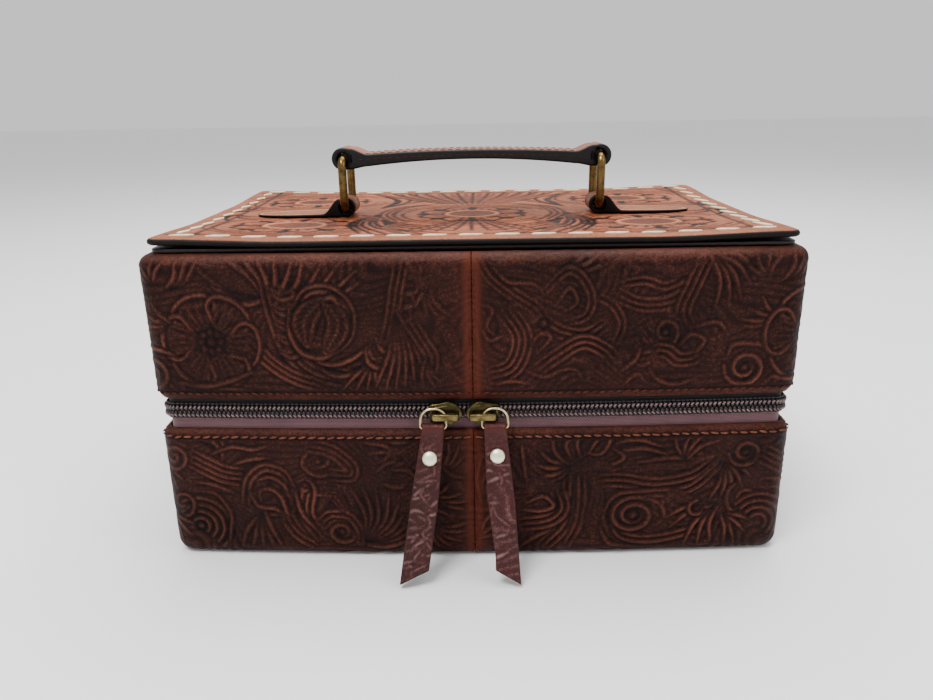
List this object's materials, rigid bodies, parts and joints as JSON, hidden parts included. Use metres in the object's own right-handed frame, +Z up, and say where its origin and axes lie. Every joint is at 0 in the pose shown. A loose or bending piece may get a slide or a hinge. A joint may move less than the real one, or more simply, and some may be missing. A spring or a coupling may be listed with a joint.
{
  "type": "jewellery case",
  "caption": "Zipped leather jewellery case with padded embossed walls, tooled top panel, strap handle on two rings, mirror and divided tray.",
  "frame": {"origin": "middle of the flat underside that the case stands on", "axes": "+X to the right along the long side, +Y to the hinged back, +Z up"},
  "size_m": [0.231, 0.1812, 0.1462],
  "materials": {
    "embossed_leather": "embossed, semi-gloss",
    "tooled_leather": "carved, satin",
    "strap_leather": "edge-finished, satin",
    "tab_leather": "wrinkled, semi-gloss",
    "board": "matte",
    "suede_lining": "napped",
    "ring_cushion": "napped",
    "zip_tape": "woven",
    "zip_coil": "satin",
    "antique_brass": "antiqued",
    "pale_brass": "polished",
    "cream_lace": "smooth",
    "rivet_metal": "nickel",
    "mirror_glass": "silvered"
  },
  "bodies": {
    "base": {"base_leather_left": "embossed_leather", "base_leather_right": "embossed_leather", "base_bottom_leather": "embossed_leather", "base_bottom_board": "board", "base_front_board": "board", "base_back_board": "board", "base_left_board": "board", "base_right_board": "board", "base_lining": "suede_lining", "zip_tape_lower": "zip_tape", "zip_coil_lower": "zip_coil", "hinge_leather_base": "embossed_leather", "divider_long": "suede_lining", "divider_front": "suede_lining", "divider_back_left": "suede_lining", "divider_back_right": "suede_lining", "ring_roll_1": "ring_cushion", "ring_roll_2": "ring_cushion", "ring_roll_3": "ring_cushion", "ring_roll_4": "ring_cushion", "ring_roll_5": "ring_cushion"},
    "lid": {"lid_leather_left": "embossed_leather", "lid_leather_right": "embossed_leather", "lid_top_board": "board", "lid_front_board": "board", "lid_back_board": "board", "lid_left_board": "board", "lid_right_board": "board", "lid_lining": "suede_lining", "zip_tape_upper": "zip_tape", "zip_coil_upper": "zip_coil", "hinge_leather_lid": "embossed_leather", "top_panel_backing": "strap_leather", "top_panel": "tooled_leather", "buckstitch_lace": "cream_lace", "chape_left": "strap_leather", "chape_right": "strap_leather", "mirror": "mirror_glass", "mirror_frame": "strap_leather"},
    "ring_left": {"handle_ring_left": "antique_brass"},
    "ring_right": {"handle_ring_right": "antique_brass"},
    "handle": {"handle_strap": "strap_leather"},
    "slider_left": {"slider_left": "antique_brass"},
    "slider_right": {"slider_right": "antique_brass"},
    "pull_ring_left": {"pull_ring_left": "pale_brass"},
    "pull_ring_right": {"pull_ring_right": "pale_brass"},
    "pull_tab_left": {"pull_tab_left": "tab_leather", "pull_rivet_left": "rivet_metal"},
    "pull_tab_right": {"pull_tab_right": "tab_leather", "pull_rivet_right": "rivet_metal"}
  },
  "joints": [
    {"name": "lid_hinge", "type": "hinge", "parent": "base", "child": "lid", "pos_m": [0, 0.0757, 0.0582], "axis": [-1, 0, 0], "range_deg": [0, 105]},
    {"name": "ring_left_fold", "type": "hinge", "parent": "lid", "child": "ring_left", "pos_m": [-0.0512, -0.0115, 0.1226], "axis": [0, 1, 0], "range_deg": [-60, 60]},
    {"name": "ring_right_fold", "type": "hinge", "parent": "lid", "child": "ring_right", "pos_m": [0.0512, -0.0115, 0.1226], "axis": [0, 1, 0], "range_deg": [-60, 60]},
    {"name": "handle_swing", "type": "hinge", "parent": "ring_left", "child": "handle", "pos_m": [-0.0512, -0.0115, 0.1418], "axis": [0, 1, 0], "range_deg": [-60, 60]},
    {"name": "slider_left_slide", "type": "slide", "parent": "base", "child": "slider_left", "axis": [-1, 0, 0], "range_m": [0, 0.078]},
    {"name": "pull_ring_left_tilt", "type": "hinge", "parent": "slider_left", "child": "pull_ring_left", "pos_m": [-0.01405, -0.0859, 0.0582], "axis": [-1, 0, 0], "range_deg": [0, 15]},
    {"name": "pull_tab_left_lift", "type": "hinge", "parent": "pull_ring_left", "child": "pull_tab_left", "pos_m": [-0.01405, -0.0852, 0.054], "axis": [-1, 0, 0], "range_deg": [0, 95]},
    {"name": "slider_right_slide", "type": "slide", "parent": "base", "child": "slider_right", "axis": [1, 0, 0], "range_m": [0, 0.078]},
    {"name": "pull_ring_right_tilt", "type": "hinge", "parent": "slider_right", "child": "pull_ring_right", "pos_m": [0.00765, -0.0859, 0.0582], "axis": [-1, 0, 0], "range_deg": [0, 15]},
    {"name": "pull_tab_right_lift", "type": "hinge", "parent": "pull_ring_right", "child": "pull_tab_right", "pos_m": [0.00765, -0.0852, 0.054], "axis": [-1, 0, 0], "range_deg": [0, 95]}
  ],
  "couplings": [
    {"joint": "ring_right_fold", "follows": "ring_left_fold", "ratio": 1},
    {"joint": "handle_swing", "follows": "ring_left_fold", "ratio": -1}
  ]
}
